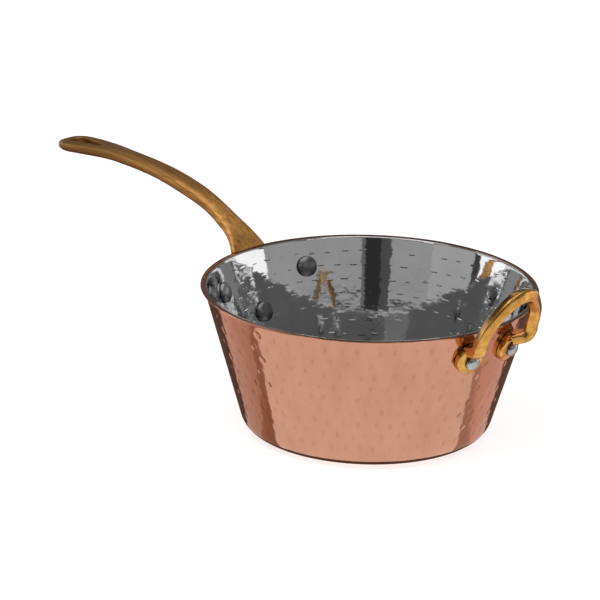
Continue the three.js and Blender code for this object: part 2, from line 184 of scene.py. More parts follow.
def named(name):
    """Names the piece that was just added."""
    piece = bpy.context.object
    piece.name = name
    piece.data.name = name
    return piece


def apply_modifier(piece, kind, **settings):
    take(piece)
    modifier = piece.modifiers.new(kind, kind)
    for setting, value in settings.items():
        setattr(modifier, setting, value)
    bpy.ops.object.modifier_apply(modifier=modifier.name)


def settle(piece):
    """Puts a piece's place into its mesh, so that its object sits at the origin."""
    take(piece)
    bpy.ops.object.transform_apply(location=True, rotation=True, scale=True)


def close_and_turn_out(piece):
    """Merges doubled points and points every face outwards."""
    take(piece)
    bpy.ops.object.mode_set(mode="EDIT")
    bpy.ops.mesh.select_all(action="SELECT")
    bpy.ops.mesh.remove_doubles(threshold=MERGE_DISTANCE)
    bpy.ops.mesh.normals_make_consistent(inside=False)
    bpy.ops.object.mode_set(mode="OBJECT")


def combine(piece, other, operation):
    """Joins another solid to a piece, or cuts by it, and puts the other one away."""
    apply_modifier(piece, "BOOLEAN", object=other, operation=operation, solver="MANIFOLD")
    bpy.data.objects.remove(other)


def apply_by_weight(piece, weights, kind, **settings):
    """Applies a modifier to a piece's points by their weights, which are given in the points' order."""
    name = "weights"
    group = piece.vertex_groups.new(name=name)
    for number, weight in enumerate(weights):
        group.add([number], weight, "REPLACE")
    apply_modifier(piece, kind, vertex_group=name, **settings)
    piece.vertex_groups.clear()


def draw_profile(name, points):
    """A chain of edges through points of radius and height, drawn in the XZ plane."""
    deselect_all()
    bpy.ops.mesh.primitive_plane_add(size=MM)
    bpy.ops.object.mode_set(mode="EDIT")
    bpy.ops.mesh.merge(type="CENTER")
    bpy.ops.transform.translate(value=(points[0][0], 0, points[0][1]))
    for here, there in zip(points, points[1:]):
        step = (there[0] - here[0], 0, there[1] - here[1])
        bpy.ops.mesh.extrude_vertices_move(TRANSFORM_OT_translate={"value": step})
    bpy.ops.object.mode_set(mode="OBJECT")
    return named(name)


def turned(name, points, steps):
    """A round skin turned about the Z axis from a profile."""
    piece = draw_profile(name, points)
    merging = {"use_merge_vertices": True, "merge_threshold": MERGE_DISTANCE}
    apply_modifier(piece, "SCREW", steps=steps, render_steps=steps, **merging)
    return piece


def lathe(name, points, steps):
    """A closed round solid turned from a profile whose ends lie on the Z axis."""
    piece = turned(name, points, steps)
    close_and_turn_out(piece)
    return piece


def join(pieces):
    """Joins skins that share their edges into one closed piece, the first one."""
    deselect_all()
    for piece in pieces:
        piece.select_set(True)
    bpy.context.view_layer.objects.active = pieces[0]
    bpy.ops.object.join()
    close_and_turn_out(pieces[0])
    return pieces[0]


def smooth_shade(piece, sharp_angle):
    take(piece)
    bpy.ops.object.shade_smooth_by_angle(angle=sharp_angle)


# The pan's shape


def wall_radius(height):
    """Radius of the wall's straight outer face at a height."""
    return BASE_RADIUS + height * math.tan(WALL_TILT)


def wall_point(height, stand_off):
    """Radius and height of a point that stands off from the outer face, square to the wall."""
    return (
        wall_radius(height) + stand_off * math.cos(WALL_TILT),
        height - stand_off * math.sin(WALL_TILT),
    )


def slope_point(down, inset):
    """Radius and height of a point down the wall from the rim, set in from the outer face."""
    radius = wall_radius(PAN_HEIGHT) - inset / math.cos(WALL_TILT)
    return radius - down * math.sin(WALL_TILT), PAN_HEIGHT - down * math.cos(WALL_TILT)


def face_below(inset):
    """Points of a face from the base's middle, round the corner, to the foot of the hammered band."""
    corner_radius = max(BASE_CORNER_RADIUS - inset, 0)
    corner_centre = wall_radius(BASE_CORNER_RADIUS) - BASE_CORNER_RADIUS / math.cos(WALL_TILT)
    points = [(0, inset), (corner_centre / 2, inset)]
    for step in range(BASE_CORNER_STEPS + 1):
        angle = -math.pi / 2 + (math.pi / 2 - WALL_TILT) * step / BASE_CORNER_STEPS
        radius = corner_centre + corner_radius * math.cos(angle)
        points.append((radius, BASE_CORNER_RADIUS + corner_radius * math.sin(angle)))
    return points + [slope_point(BAND_LOW, inset)]


def face_above(inset, flare):
    """Points of a face from the top of the hammered band to the rim, where it turns out by a flare."""
    points = [slope_point(BAND_HIGH, inset)]
    for step in range(LIP_STEPS + 1):
        share = step / LIP_STEPS
        height = PAN_HEIGHT - LIP_HEIGHT * (1 - share)
        radius = wall_radius(height) - inset / math.cos(WALL_TILT)
        points.append((radius + flare * share ** 2, height))
    return points


def wall_placement(angle, height):
    """A place on the wall's outer face, with local Z square to the wall and pointing out."""
    outward = Vector((
        math.cos(WALL_TILT) * math.cos(angle),
        math.cos(WALL_TILT) * math.sin(angle),
        -math.sin(WALL_TILT),
    ))
    along = Vector((-math.sin(angle), math.cos(angle), 0))
    upward = outward.cross(along)
    radius = wall_radius(height)
    place = Vector((radius * math.cos(angle), radius * math.sin(angle), height))
    return Matrix.Translation(place) @ Matrix((along, upward, outward)).transposed().to_4x4()


def rivet_pair(direction, spacing, height):
    half_angle = math.asin(spacing / 2 / wall_radius(height))
    return [wall_placement(direction + half_angle, height), wall_placement(direction - half_angle, height)]


HANDLE_PLACES = rivet_pair(math.pi, HANDLE_RIVET_SPACING, HANDLE_RIVET_HEIGHT)
HANDLE_PLACES.append(wall_placement(math.pi, HANDLE_LOW_RIVET_HEIGHT))
HELPER_PLACES = rivet_pair(0, HELPER_RIVET_SPACING, HELPER_RIVET_HEIGHT)


def drill(piece, places):
    """Cuts the rivets' clearance holes."""
    radius = RIVET_SHANK_RADIUS + RIVET_CLEARANCE
    for place in places:
        deselect_all()
        bpy.ops.mesh.primitive_cylinder_add(vertices=ROUND_STEPS, radius=radius, depth=DRILL_DEPTH)
        bit = named("drill_bit")
        bit.matrix_world = place
        combine(piece, bit, "DIFFERENCE")


def spot_face(piece, places, casting_thickness):
    """Cuts a flat round seat for each rivet's tail."""
    radius = RIVET_TAIL_RADIUS + RIVET_CLEARANCE
    lift = SEAT_GAP + casting_thickness + FACING_DEPTH / 2
    for place in places:
        deselect_all()
        bpy.ops.mesh.primitive_cylinder_add(vertices=ROUND_STEPS, radius=radius, depth=FACING_DEPTH)
        bit = named("facing_bit")
        bit.matrix_world = place @ Matrix.Translation((0, 0, lift))
        combine(piece, bit, "DIFFERENCE")


def pan_envelope():
    """The room that the pan takes up, with the seat gap round it."""
    points = face_below(-SEAT_GAP) + face_above(-SEAT_GAP, LIP_FLARE)
    top = PAN_HEIGHT + SEAT_GAP
    points += [(points[-1][0], top), (0, top)]
    return lathe("pan_envelope", points, CUTTER_STEPS)


def grow_ring(size, step):
    """Draws the selected ring of edges out by a growth and a step along Z."""
    bpy.ops.mesh.extrude_edges_move(TRANSFORM_OT_translate={"value": (0, 0, step)})
    bpy.ops.transform.resize(value=(size, size, 1), center_override=(0, 0, 0))


def hammer_tile(floor):
    """A square of sheet with one round mark, whose floor is a unit deep and a share of the mark wide."""
    centre = floor - MARK_CENTRE_STEP
    deselect_all()
    bpy.ops.mesh.primitive_circle_add(
        vertices=TILE_SPOKES, radius=centre * MARK_RADIUS, fill_type="TRIFAN", location=(0, 0, 1)
    )
    tile = named("hammer_tile")
    settle(tile)
    bpy.ops.object.mode_set(mode="EDIT")
    bpy.ops.mesh.select_all(action="SELECT")
    bpy.ops.mesh.region_to_loop()
    grow_ring(floor / centre, 0)
    grow_ring(1 / floor, -1)
    grow_ring(MARK_GUARD, 0)
    grow_ring(TILE_EDGE_GROWTH, 0)
    edge = [point.index for point in bmesh.from_edit_mesh(tile.data).verts if point.select]
    bpy.ops.object.mode_set(mode="OBJECT")
    for number in edge:
        point = tile.data.vertices[number].co
        eighths = 4 * math.atan2(point.y, point.x) / math.pi
        side = round(eighths / 2)
        along = eighths - 2 * side
        turn = Matrix.Rotation(side * math.pi / 2, 2) @ Vector((1, along))
        point.xy = turn.x * TILE_WIDTH / 2, turn.y * MARK_ROW_STEP / 2
    return tile


def hammered_sheet(floor):
    """A flat sheet of staggered hammer marks, as many as the wall has."""
    sheet = hammer_tile(floor)
    array = {"use_relative_offset": False, "use_constant_offset": True}
    apply_modifier(
        sheet, "ARRAY", count=MARKS_PER_ROW, constant_offset_displace=(TILE_WIDTH, 0, 0), **array
    )
    stagger = (TILE_WIDTH / 2, -MARK_ROW_STEP, 0)
    apply_modifier(sheet, "ARRAY", count=MARK_ROWS, constant_offset_displace=stagger, **array)
    return sheet


def hammer_blows():
    """How each blow fell: its drift along and down the wall, its strength and its size."""
    chance = random.Random(MARK_SEED)
    blows = {}
    for row in range(MARK_ROWS):
        for number in range(MARKS_PER_ROW):
            along = chance.uniform(-MARK_DRIFT_ALONG, MARK_DRIFT_ALONG)
            down = chance.uniform(-MARK_DRIFT_DOWN, MARK_DRIFT_DOWN)
            strength = chance.uniform(*MARK_STRENGTHS)
            size = chance.uniform(*MARK_SIZES)
            blows[row, number] = (along, down, strength, size)
    return blows


def wrapped_band(name, blows, inset, floor, depth, shape):
    """The hammered sheet, wrapped round one face of the wall with its marks pressed towards the axis."""
    band = hammered_sheet(floor)
    band.name = name
    pitch = 2 * math.pi / MARKS_PER_ROW
    spots = []
    for point in band.data.vertices:
        row = min(max(round(-point.co.y / MARK_ROW_STEP), 0), MARK_ROWS - 1)
        across = point.co.x - row * TILE_WIDTH / 2
        number = min(max(round(across / TILE_WIDTH), 0), MARKS_PER_ROW - 1)
        along = across - number * TILE_WIDTH
        up = point.co.y + row * MARK_ROW_STEP
        middle = (row + 1) * MARK_ROW_STEP
        angle = point.co.x / TILE_WIDTH * pitch
        down = middle - up
        if math.hypot(along, up) < MARK_REACH:
            drift_along, drift_down, strength, size = blows[row, number]
            down = middle + drift_down - shape[1] * size * up
            offset = drift_along + shape[0] * size * along
            angle = (number + row / 2) * pitch + offset / slope_point(middle, inset)[0]
            pressed = point.co.z * strength * depth
            aside = along - drift_along
            # Painted shade in the middle of each mark, kept in the spot attribute for the copper's colour
            spots.append(strength * max(0, 1 - (aside / MARK_SHADE_WIDTH) ** 2 - (up / MARK_SHADE_HEIGHT) ** 2))
        else:
            pressed = 0
            spots.append(0)
        radius, height = slope_point(down, inset)
        radius -= pressed * math.cos(WALL_TILT)
        height += pressed * math.sin(WALL_TILT)
        point.co = (radius * math.cos(angle), radius * math.sin(angle), height)
    band.data.attributes.new("spot", "FLOAT", "POINT").data.foreach_set("value", spots)
    return band


def rim_edge(outer, inner):
    """Points that round off the cut edge between an outer and an inner face at the rim."""
    return [
        (outer[0], outer[1] - RIM_EDGE_ROUND),
        (outer[0] - RIM_EDGE_BEVEL, outer[1] - RIM_EDGE_BEVEL),
        (outer[0] - RIM_EDGE_ROUND, outer[1]),
        (inner[0] + RIM_EDGE_ROUND, inner[1]),
        (inner[0] + RIM_EDGE_BEVEL, inner[1] - RIM_EDGE_BEVEL),
        (inner[0], inner[1] - RIM_EDGE_ROUND),
    ]


def close_skin(band, base, rim):
    """Joins a hammered band to its base and its rim, and drills the rivets' holes."""
    skin = join([band, base, rim])
    drill(skin, HANDLE_PLACES + HELPER_PLACES)
    smooth_shade(skin, SHARP_ANGLE)
    return skin


def copper_shell(blows):
    outer = face_above(0, LIP_FLARE)
    inner = face_above(COPPER_THICKNESS, INNER_LIP_FLARE)
    upper = outer[:-1] + rim_edge(outer[-1], inner[-1]) + inner[-2::-1] + face_below(COPPER_THICKNESS)[::-1]
    band = wrapped_band("hammered_shell", blows, 0, COPPER_MARK_FLOOR, COPPER_MARK_DEPTH, COPPER_MARK_SHAPE)
    base = turned("shell_base", face_below(0), SKIN_STEPS)
    return close_skin(band, base, turned("shell_rim", upper, SKIN_STEPS))


def steel_lining(blows):
    outer_inset = COPPER_THICKNESS + BOND_LINE
    outer = face_above(outer_inset, INNER_LIP_FLARE)
    inner = face_above(WALL_THICKNESS, INNER_LIP_FLARE)
    upper = face_below(outer_inset) + outer[:-1] + rim_edge(outer[-1], inner[-1]) + inner[-2::-1]
    band = wrapped_band(
        "dimpled_lining", blows, WALL_THICKNESS, LINING_MARK_FLOOR, LINING_MARK_DEPTH, LINING_MARK_SHAPE
    )
    floor = turned("lining_floor", face_below(WALL_THICKNESS), SKIN_STEPS)
    return close_skin(band, floor, turned("lining_rim", upper, SKIN_STEPS))


# Rivets


def dome(radius, seat, height):
    """Points of a domed rivet end, from its edge to its crown."""
    points = [(radius, seat)]
    side = math.copysign(1, height)
    for step in range(DOME_STEPS + 1):
        angle = step / DOME_STEPS * math.pi / 2
        rise = RIVET_EDGE_HEIGHT + (abs(height) - RIVET_EDGE_HEIGHT) * math.sin(angle)
        points.append((radius * math.cos(angle), seat + side * rise))
    return points


def rivet_model(height, casting_thickness):
    """One rivet along Z, from its domed head inside the pan to its closed tail on the casting."""
    curve = wall_radius(height) / math.cos(WALL_TILT) - WALL_THICKNESS
    head_bow = curve - math.sqrt(curve ** 2 - RIVET_HEAD_RADIUS ** 2)
    head_seat = -WALL_THICKNESS - SEAT_GAP - head_bow
    tail_seat = SEAT_GAP + casting_thickness + SEAT_GAP
    head = dome(RIVET_HEAD_RADIUS, head_seat, -RIVET_HEAD_HEIGHT)
    shank = [(RIVET_SHANK_RADIUS, head_seat), (RIVET_SHANK_RADIUS, tail_seat)]
    tail = dome(RIVET_TAIL_RADIUS, tail_seat, RIVET_TAIL_HEIGHT)
    model = lathe("rivet", head[::-1] + shank + tail, ROUND_STEPS)
    smooth_shade(model, RIVET_SHARP_ANGLE)
    return model


def set_rivets(names, places, height, casting_thickness):
    """Copies one rivet to each place and gives each copy its own mesh."""
    model = rivet_model(height, casting_thickness)
    rivets = []
    for name, place in zip(names, places):
        take(model)
        bpy.ops.object.duplicate()
        rivet = named(name)
        rivet.matrix_world = place
        settle(rivet)
        rivets.append(rivet)
    bpy.data.objects.remove(model)
    return rivets


# Castings


def spine(name, points):
    """A smooth curve through the places of a bar's sections."""
    deselect_all()
    bpy.ops.curve.primitive_bezier_curve_add()
    curve = named(name)
    knots = curve.data.splines[0].bezier_points
    knots.add(len(points) - 2)
    for knot, point in zip(knots, points):
        knot.co = point
        knot.handle_left_type = "AUTO"
        knot.handle_right_type = "AUTO"
    curve.data.resolution_u = SPINE_STEPS
    bpy.context.view_layer.update()
    return curve


def spine_marks(curve):
    """Distances along a spine at which its points lie."""
    knots = curve.data.splines[0].bezier_points
    marks = [0]
    for here, there in zip(knots, knots[1:]):
        corners = here.co, here.handle_right, there.handle_left, there.co
        path = interpolate_bezier(*corners, SPINE_STEPS + 1)
        marks.append(marks[-1] + sum((b - a).length for a, b in zip(path, path[1:])))
    return marks


def curved_between(marks, values, distance):
    """A value at a distance, on a smooth curve through values at marked distances."""
    last = len(marks) - 1
    span = max(k for k in range(last) if marks[k] <= distance or k == 0)
    low, high = marks[span], marks[span + 1]

    def slope(k):
        before, after = max(k - 1, 0), min(k + 1, last)
        return (values[after] - values[before]) / (marks[after] - marks[before])

    share = (distance - low) / (high - low)
    rest = 1 - share
    return (
        rest ** 2 * (1 + 2 * share) * values[span]
        + share ** 2 * (1 + 2 * rest) * values[span + 1]
        + (high - low) * share * rest * (rest * slope(span) - share * slope(span + 1))
    )


def straight_bar(name, sections, corner):
    """A bar along X, drawn out through sections of distance, width and thickness."""
    deselect_all()
    bpy.ops.mesh.primitive_plane_add(size=1, rotation=(0, math.pi / 2, 0))
    bar = named(name)
    settle(bar)
    bpy.ops.object.mode_set(mode="EDIT")
    bpy.ops.mesh.select_all(action="SELECT")
    bpy.ops.mesh.bevel(offset_type="OFFSET", offset=corner, segments=CORNER_STEPS, affect="VERTICES")
    place, width, thickness = sections[0]
    bpy.ops.mesh.select_all(action="SELECT")
    bpy.ops.transform.translate(value=(place, 0, 0))
    bpy.ops.transform.resize(value=(1, width, thickness), center_override=(place, 0, 0))
    for next_place, next_width, next_thickness in sections[1:]:
        step = (next_place - place, 0, 0)
        bpy.ops.mesh.extrude_region_move(TRANSFORM_OT_translate={"value": step})
        growth = (1, next_width / width, next_thickness / thickness)
        bpy.ops.transform.resize(value=growth, center_override=(next_place, 0, 0))
        place, width, thickness = next_place, next_width, next_thickness
    bpy.ops.object.mode_set(mode="OBJECT")
    close_and_turn_out(bar)
    return bar


def bar_along(name, stations, corner, tip_rounding=0):
    """A bar with a changing section along a spine. Stations give a place, a width and a thickness."""
    curve = spine(name + "_spine", [place for place, width, thickness in stations])
    marks = spine_marks(curve)
    widths = [width for place, width, thickness in stations]
    thicknesses = [thickness for place, width, thickness in stations]
    length = marks[-1]
    count = round((length - tip_rounding) / RING_STEP)
    distances = [(length - tip_rounding) * ring / count for ring in range(count + 1)]
    if tip_rounding:
        turns = [step / TIP_STEPS * math.pi / 2 for step in range(1, TIP_STEPS)]
        distances += [length - tip_rounding * (1 - math.sin(turn)) for turn in turns]
    sections = []
    for distance in distances:
        into_tip = max(0, 1 - (length - distance) / tip_rounding) if tip_rounding else 0
        rounding = math.sqrt(1 - into_tip ** 2)
        width = curved_between(marks, widths, distance) * rounding
        thickness = curved_between(marks, thicknesses, distance) * rounding
        sections.append((distance, width, thickness))
    bar = straight_bar(name, sections, corner)
    apply_modifier(bar, "CURVE", object=curve, deform_axis="POS_X")
    bpy.data.objects.remove(curve)
    close_and_turn_out(bar)
    return bar


def hull_of_rounds(name, rounds, depth, rotation=(0, 0, 0)):
    """A prism round several cylinders of place and radius."""
    deselect_all()
    parts = []
    for place, radius in rounds:
        bpy.ops.mesh.primitive_cylinder_add(
            vertices=2 * ROUND_STEPS, radius=radius, depth=depth, location=place, rotation=rotation
        )
        parts.append(bpy.context.object)
    for part in parts:
        part.select_set(True)
    bpy.context.view_layer.objects.active = parts[0]
    bpy.ops.object.join()
    hull = named(name)
    settle(hull)
    bpy.ops.object.mode_set(mode="EDIT")
    bpy.ops.mesh.select_all(action="SELECT")
    bpy.ops.mesh.convex_hull()
    bpy.ops.object.mode_set(mode="OBJECT")
    close_and_turn_out(hull)
    return hull


def handle_flange():
    """The three-eared plate that follows the wall."""
    along_x = (0, math.pi / 2, 0)
    middle = -RIM_RADIUS / 2
    ears = [
        Vector((middle, HANDLE_RIVET_SPACING / 2, HANDLE_RIVET_HEIGHT)),
        Vector((middle, -HANDLE_RIVET_SPACING / 2, HANDLE_RIVET_HEIGHT)),
        Vector((middle, 0, HANDLE_LOW_RIVET_HEIGHT)),
    ]
    plate = hull_of_rounds("flange", [(ear, FLANGE_EAR_RADIUS) for ear in ears], RIM_RADIUS, along_x)
    low_ear = ears[2]
    for ear in ears[:2]:
        side = low_ear - ear
        normal = Vector((0, math.copysign(side.z, side.y), -abs(side.y))).normalized()
        normal.y = math.copysign(normal.y, ear.y)
        sag = side.length_squared / (8 * FLANGE_WAIST_RADIUS)
        centre = (ear + low_ear) / 2 + normal * (FLANGE_EAR_RADIUS - sag + FLANGE_WAIST_RADIUS)
        deselect_all()
        size = {"radius": FLANGE_WAIST_RADIUS, "depth": 2 * RIM_RADIUS}
        bpy.ops.mesh.primitive_cylinder_add(vertices=WAIST_STEPS, location=centre, rotation=along_x, **size)
        combine(plate, named("waist"), "DIFFERENCE")
    low = HANDLE_LOW_RIVET_HEIGHT - 2 * FLANGE_EAR_RADIUS
    high = HANDLE_RIVET_HEIGHT + 2 * FLANGE_EAR_RADIUS
    outer = [wall_point(low, SEAT_GAP + FLANGE_THICKNESS), wall_point(high, SEAT_GAP + FLANGE_THICKNESS)]
    layer = lathe("layer", [(0, outer[0][1])] + outer + [(0, outer[1][1])], CUTTER_STEPS)
    combine(plate, layer, "INTERSECT")
    return plate


def from_rim(reach, rise):
    """A place on the long handle's centreline, in millimetres out and up from the rim."""
    return Vector((-RIM_RADIUS - reach * MM, 0, PAN_HEIGHT + rise * MM))


def on_wall(rise, thickness):
    """A place on the long handle's centreline against the wall, in millimetres up from the rim."""
    out, up = wall_point(PAN_HEIGHT + rise * MM, SEAT_GAP + thickness * MM / 2)
    return Vector((-out, 0, up))


def handle_stations():
    """The long handle's centreline, widths and thicknesses, from the flange to the tip."""
    return [
        (on_wall(-17.5, 3.2), 46 * MM, 3.2 * MM),
        (on_wall(1.4, 3.6), 22 * MM, 3.6 * MM),
        (from_rim(15.3, 12.1), 12.4 * MM, 5.1 * MM),
        (from_rim(40, 21.8), 12.1 * MM, 6 * MM),
        (from_rim(84, 27.8), 10.4 * MM, 6.5 * MM),
        (from_rim(111, 27.4), 16.4 * MM, 6.8 * MM),
        (from_rim(129.5, 25.4), 16.4 * MM, 6.8 * MM),
    ]


def wrap_round_pan(bar):
    """Bends a bar's wide root round the pan, as much as its distance from the axis asks."""
    weights = []
    for point in bar.data.vertices:
        bow = point.co.y ** 2 / (2 * max(-point.co.x, RIM_RADIUS / 2))
        weights.append(min(bow / ROOT_DEEPEST_BOW, 1))
    apply_by_weight(bar, weights, "DISPLACE", strength=ROOT_DEEPEST_BOW, mid_level=0, direction="X")


def tail_placement():
    """The tail's middle, turned so that X runs along the tail."""
    grip, tail, tip = [place for place, width, thickness in handle_stations()[-3:]]
    pitch = math.atan2(tip.z - grip.z, grip.x - tip.x)
    return Matrix.Translation(tail) @ Matrix.Rotation(pitch, 4, "Y")


def tail_flat():
    """The block that is filed off the tail's crown, which leaves a flat round the eye."""
    deselect_all()
    bpy.ops.mesh.primitive_cube_add(size=1, scale=TAIL_BLOCK)
    block = named("tail_flat")
    settle(block)
    lift = Matrix.Translation((0, 0, TAIL_FLAT_RISE + TAIL_BLOCK[2] / 2))
    block.matrix_world = tail_placement() @ lift
    settle(block)
    return block


def hanging_eye():
    """The slot through the tail, round at the outer end and drawn in towards the grip."""
    outer = EYE_WIDTH / 2
    inner = EYE_NARROW_WIDTH / 2
    span = EYE_LENGTH - outer - inner
    rounds = [((EYE_SHIFT - span / 2, 0, 0), outer), ((EYE_SHIFT + span / 2, 0, 0), inner)]
    eye = hull_of_rounds("eye", rounds, EYE_CUT_DEPTH)
    eye.matrix_world = tail_placement()
    settle(eye)
    return eye


def soften_casting(piece, voxel, rounds, softness):
    """Makes a casting one skin and rounds its edges and inner corners, each place by its softness."""
    apply_modifier(piece, "REMESH", mode="VOXEL", voxel_size=voxel, use_smooth_shade=True)
    weights = [softness(point.co) for point in piece.data.vertices]
    apply_by_weight(piece, weights, "SMOOTH", factor=0.5, iterations=rounds)


def seat_casting(piece, name, places, thickness):
    """Fits a casting to the wall, cuts its rivets' seats and holes, and names it."""
    combine(piece, pan_envelope(), "DIFFERENCE")
    spot_face(piece, places, thickness)
    drill(piece, places)
    smooth_shade(piece, SHARP_ANGLE)
    piece.name = name
    return piece


def long_handle():
    handle = bar_along("long_bar", handle_stations(), HANDLE_CORNER, TIP_ROUNDING)
    wrap_round_pan(handle)
    combine(handle, handle_flange(), "UNION")
    combine(handle, tail_flat(), "DIFFERENCE")
    combine(handle, hanging_eye(), "DIFFERENCE")

    def softness(place):
        return 1 if -place.x < ROOT_REACH else GRIP_SOFTNESS

    soften_casting(handle, HANDLE_VOXEL, HANDLE_SOFTENING, softness)
    return seat_casting(handle, "cast_handle", HANDLE_PLACES, FLANGE_THICKNESS)


def loop_stations():
    """The helper loop's centreline, widths and thicknesses, from one lug over the top to the other."""
    face_out, face_up = wall_point(HELPER_RIVET_HEIGHT, SEAT_GAP + LUG_THICKNESS)

    def station(spacing, out, up, width, thickness):
        """Millimetres between the legs, out and up from the lugs' face, and across the bar."""
        place = Vector((face_out + out * MM, spacing * MM / 2, face_up + up * MM))
        return place, width * MM, thickness * MM

    leg = [
        station(27.6, -0.2, 6.0, 11.4, 5.2),
        station(35.6, 5.7, 8.3, 6.4, 5.8),
        station(36, 7, 12.4, 5.6, 5.8),
        station(27, 11.9, 24.8, 5.4, 5.8),
    ]
    top = station(0, 15.9, 33.4, 6, 6.2)
    other_leg = [(Vector((place.x, -place.y, place.z)), width, thick) for place, width, thick in leg]
    return leg + [top] + other_leg[::-1]


def lug(place):
    """A domed round lug that seats on the wall, square to its rivet."""
    edge = SEAT_GAP + LUG_EDGE_THICKNESS
    crown = SEAT_GAP + LUG_THICKNESS
    points = [(0, LUG_ROOT), (LUG_RADIUS, LUG_ROOT)]
    for step in range(LUG_STEPS + 1):
        turn = step / LUG_STEPS * math.pi / 2
        radius = LUG_CROWN_RADIUS + (LUG_RADIUS - LUG_CROWN_RADIUS) * math.cos(turn)
        points.append((radius, edge + (crown - edge) * math.sin(turn)))
    boss = lathe("lug", points + [(0, crown)], 2 * ROUND_STEPS)
    boss.matrix_world = place @ Matrix.Translation((0, LUG_RISE, 0))
    settle(boss)
    return boss


def helper_handle():
    helper = bar_along("loop_bar", loop_stations(), LOOP_CORNER)
    for place in HELPER_PLACES:
        combine(helper, lug(place), "UNION")
    soften_casting(helper, HELPER_VOXEL, HELPER_SOFTENING, lambda place: 1)
    return seat_casting(helper, "cast_helper", HELPER_PLACES, LUG_THICKNESS)


# Finishes


class Wire:
    """A node's output. Sums and products of wires add their Math nodes."""

    def __init__(self, paint, socket):
        self.paint = paint
        self.socket = socket

    def _math(self, operation, first, second):
        return self.paint.node("ShaderNodeMath", {"operation": operation}, {0: first, 1: second})

    def __add__(self, other):
        return self._math("ADD", self, other)

    def __sub__(self, other):
        return self._math("SUBTRACT", self, other)

    def __rsub__(self, other):
        return self._math("SUBTRACT", other, self)

    def __mul__(self, other):
        return self._math("MULTIPLY", self, other)

    __radd__ = __add__
    __rmul__ = __mul__


class Paint:
    """The nodes of one finish. Scales are in cycles per metre."""

    def __init__(self, tree):
        self.nodes = tree.nodes
        self.links = tree.links

    def node(self, kind, settings=None, inputs=None, output=0):
        """Adds a node: its settings first, then the values or wires of its sockets."""
        node = self.nodes.new(kind)
        for setting, value in (settings or {}).items():
            setattr(node, setting, value)
        for socket, value in (inputs or {}).items():
            self.feed(node.inputs[socket], value)
        return Wire(self, node.outputs[output])

    def feed(self, socket, value):
        if isinstance(value, Wire):
            self.links.new(value.socket, socket)
        else:
            socket.default_value = value

    def place(self):
        return self.node("ShaderNodeTexCoord", output="Object")

    def along(self, axis):
        """The distance along one axis of the object."""
        return self.node("ShaderNodeSeparateXYZ", inputs={"Vector": self.place()}, output=axis)

    def attribute(self, name):
        return self.node("ShaderNodeAttribute", {"attribute_name": name}, output="Fac")

    def noise(self, scale, detail, roughness=0.5):
        """Noise with one scale, or with a scale for each axis."""
        where = self.place()
        if isinstance(scale, tuple):
            where = self.node("ShaderNodeMapping", inputs={"Vector": where, "Scale": scale})
            scale = 1
        inputs = {"Vector": where, "Scale": scale, "Detail": detail, "Roughness": roughness}
        return self.node("ShaderNodeTexNoise", {"noise_dimensions": "3D"}, inputs)

    def clouds(self, scale):
        return self.noise(scale, detail=4, roughness=0.6)

    def grain(self, scale):
        return self.noise(scale, detail=3, roughness=0.6)

    def patches(self, scale, low=0.35, high=0.7):
        """A mask of cloudy patches, from levels of the clouds."""
        return self.spread(self.clouds(scale), low, high)

    def spread(self, value, low, high):
        """A value stretched so that low becomes 0 and high becomes 1."""
        inputs = {"Value": value, "From Min": low, "From Max": high}
        return self.node("ShaderNodeMapRange", {"clamp": True}, inputs)

    def blend(self, share, first, second):
        inputs = {"Factor": share, 6: first, 7: second}
        return self.node("ShaderNodeMix", {"data_type": "RGBA"}, inputs, output=2)

    def bump(self, height, distance):
        return self.node("ShaderNodeBump", inputs={"Height": height, "Distance": distance, "Strength": 1.0})


def metal(name, colour, roughness, normal):
    """A bare metal finish. Functions that are given the paint make its colour, roughness and normal."""
    material = bpy.data.materials.new(name)
    material.use_nodes = True
    paint = Paint(material.node_tree)
    shader = material.node_tree.nodes["Principled BSDF"]
    shader.inputs["Metallic"].default_value = 1.0
    paint.feed(shader.inputs["Base Color"], colour(paint))
    paint.feed(shader.inputs["Roughness"], roughness(paint))
    paint.feed(shader.inputs["Normal"], normal(paint))
    return material


COPPER_BRIGHT = (0.610, 0.300, 0.198, 1)
COPPER_DULL = (0.560, 0.268, 0.172, 1)
# Painted shade in the hammer marks
COPPER_MARK_SHADE = (0.400, 0.160, 0.090, 1)
STEEL_BRIGHT = (0.640, 0.640, 0.645, 1)
STEEL_DULL = (0.560, 0.560, 0.565, 1)
BRASS_GOLD = (0.750, 0.415, 0.105, 1)
BRASS_DEEP = (0.450, 0.185, 0.038, 1)
BRASS_BROWN = (0.800, 0.400, 0.120, 1)
BRASS_TAIL = (0.380, 0.200, 0.068, 1)
BRASS_TARNISH = (0.300, 0.130, 0.040, 1)
# Painted shade on the side of the helper loop that faces the pan
BRASS_PAINTED_SHADE = (0.380, 0.260, 0.150, 1)
RIVET_GREY = (0.470, 0.475, 0.480, 1)
RIVET_DARK = (0.330, 0.335, 0.340, 1)
# Painted shade on the long handle's rivets
RIVET_PAINTED_SHADE = (0.150, 0.150, 0.150, 1)


def polished_copper():
    """Streaks of duller metal down the wall, painted shade in the middle of each hammer mark, fine spinning
    rings and slow waves.
    """
    streak_scale = (130, 130, 14)
    ring_scale = (60, 60, 2600)
    wave_scale = 120
    ring_height = 0.002
    wave_height = 0.28
    mark_shade_share = 0.38

    def colour(paint):
        skin = paint.blend(paint.patches(streak_scale), COPPER_BRIGHT, COPPER_DULL)
        # Painted shade: the copper darkens in the middle of each hammer mark, by the spot attribute
        return paint.blend(mark_shade_share * paint.attribute("spot"), skin, COPPER_MARK_SHADE)

    def roughness(paint):
        return 0.08 + 0.07 * paint.clouds(60)

    def normal(paint):
        rings = paint.noise(ring_scale, detail=2)
        waves = paint.noise(wave_scale, detail=1)
        return paint.bump(ring_height * rings + wave_height * waves, MM)

    return metal("polished_copper", colour, roughness, normal)


